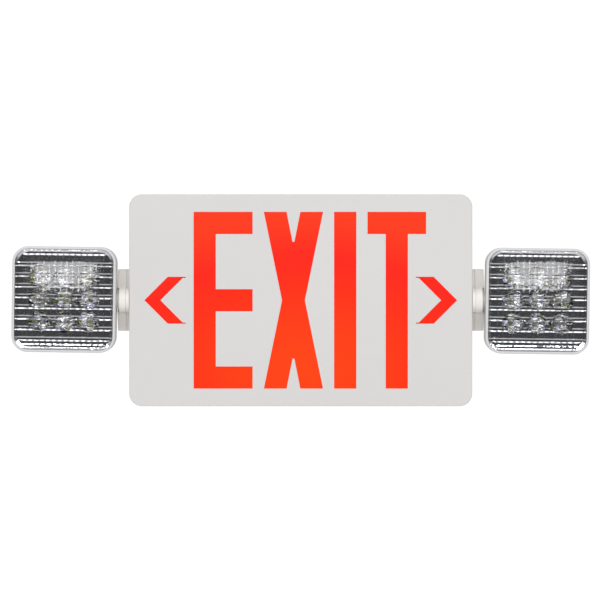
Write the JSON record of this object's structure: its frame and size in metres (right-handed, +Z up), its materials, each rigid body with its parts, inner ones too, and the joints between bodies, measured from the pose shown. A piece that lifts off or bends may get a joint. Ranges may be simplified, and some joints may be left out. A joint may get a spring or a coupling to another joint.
{
  "type": "emergency exit light",
  "caption": "Wall-mounted emergency exit light: red translucent legend in a white removable face between knocked-out chevrons, with a fluted lamp head on a tilting knuckle at each side.",
  "frame": {"origin": "centre of the wall face, midway between the box screw holes, on the axis of the wire entry", "axes": "+X to the right of a viewer facing the sign, +Z up, +Y into the wall; the face looks along -Y"},
  "size_m": [0.4984, 0.0663, 0.1838],
  "materials": {
    "housing_plastic": "fine-textured moulded thermoplastic, warm white",
    "face_plastic": "smooth satin moulded thermoplastic, warm white",
    "knuckle_plastic": "satin moulded thermoplastic, slightly creamier white",
    "head_plastic": "satin moulded thermoplastic, cool white",
    "red_panel": "translucent red polycarbonate, lit from behind",
    "tray_plastic": "white high-reflectance moulding",
    "clear_lens": "clear moulded polycarbonate with flutes",
    "metallised": "vacuum metallised plastic",
    "circuit_board": "solder mask",
    "led_board_white": "white masked aluminium board",
    "led_yellow": "phosphor and clear dome",
    "led_red": "clear red package",
    "screw_steel": "zinc plated",
    "spring_steel": "spring steel",
    "pivot_plastic": "acetal, natural white",
    "core_steel": "laminated steel, varnished",
    "winding_tape": "yellow winding tape",
    "black_parts": "black moulded component",
    "can_aluminium": "sleeved aluminium can",
    "terminal_green": "moulded terminal block",
    "header_white": "nylon",
    "button_red": "moulded button",
    "light_pipe": "clear moulded light pipe",
    "battery_sleeve": "shrink sleeve",
    "lead_sleeve": "PVC insulation",
    "lead_red": "PVC insulation"
  },
  "bodies": {
    "housing": {"back_plate": "housing_plastic", "battery_lead": "lead_red", "battery_pack": "battery_sleeve", "battery_strap": "pivot_plastic", "board_screws": "screw_steel", "button_spring": "spring_steel", "capacitors": "can_aluminium", "charger_chip": "black_parts", "colour_panel": "red_panel", "driver_board": "circuit_board", "face_plate": "face_plastic", "housing_frame": "housing_plastic", "indicator_led": "led_red", "indicator_pipe": "light_pipe", "lead_headers": "header_white", "left_knuckle": "knuckle_plastic", "left_knuckle_base": "knuckle_plastic", "left_knuckle_screws": "screw_steel", "left_lamp_lead": "lead_sleeve", "left_wave_washer": "spring_steel", "light_tray": "tray_plastic", "plate_posts": "housing_plastic", "relay": "black_parts", "right_knuckle": "knuckle_plastic", "right_knuckle_base": "knuckle_plastic", "right_knuckle_screws": "screw_steel", "right_lamp_lead": "lead_sleeve", "right_wave_washer": "spring_steel", "sign_board": "circuit_board", "sign_lead": "lead_sleeve", "sign_leds": "led_red", "strap_screws": "screw_steel", "terminal_block": "terminal_green", "test_switch": "black_parts", "transformer_core": "core_steel", "transformer_winding": "winding_tape", "tray_screws": "screw_steel"},
    "left_head": {"left_trunnion": "pivot_plastic", "left_snap_ring": "spring_steel", "left_head_shell": "head_plastic", "left_head_lens": "clear_lens", "left_head_reflector": "metallised", "left_led_board": "led_board_white", "left_leds": "led_yellow", "left_head_screws": "screw_steel", "left_lead_socket": "header_white", "left_head_lead": "lead_sleeve"},
    "right_head": {"right_trunnion": "pivot_plastic", "right_snap_ring": "spring_steel", "right_head_shell": "head_plastic", "right_head_lens": "clear_lens", "right_head_reflector": "metallised", "right_led_board": "led_board_white", "right_leds": "led_yellow", "right_head_screws": "screw_steel", "right_lead_socket": "header_white", "right_head_lead": "lead_sleeve"},
    "test_button": {"test_button": "button_red"}
  },
  "joints": [
    {"name": "left_head_tilt", "type": "hinge", "parent": "housing", "child": "left_head", "pos_m": [-0.154, -0.0485, 0], "axis": [0.9999, 0, -0.014], "range_deg": [-90, 90]},
    {"name": "right_head_tilt", "type": "hinge", "parent": "housing", "child": "right_head", "pos_m": [0.154, -0.0485, 0], "axis": [0.9999, 0, -0.014], "range_deg": [-90, 90]},
    {"name": "test_button_press", "type": "slide", "parent": "housing", "child": "test_button", "axis": [0, 0, 1], "range_m": [0, 0.002], "stiffness_N_per_m": 500, "springref_m": -0.001, "deforming": ["button_spring"]}
  ]
}
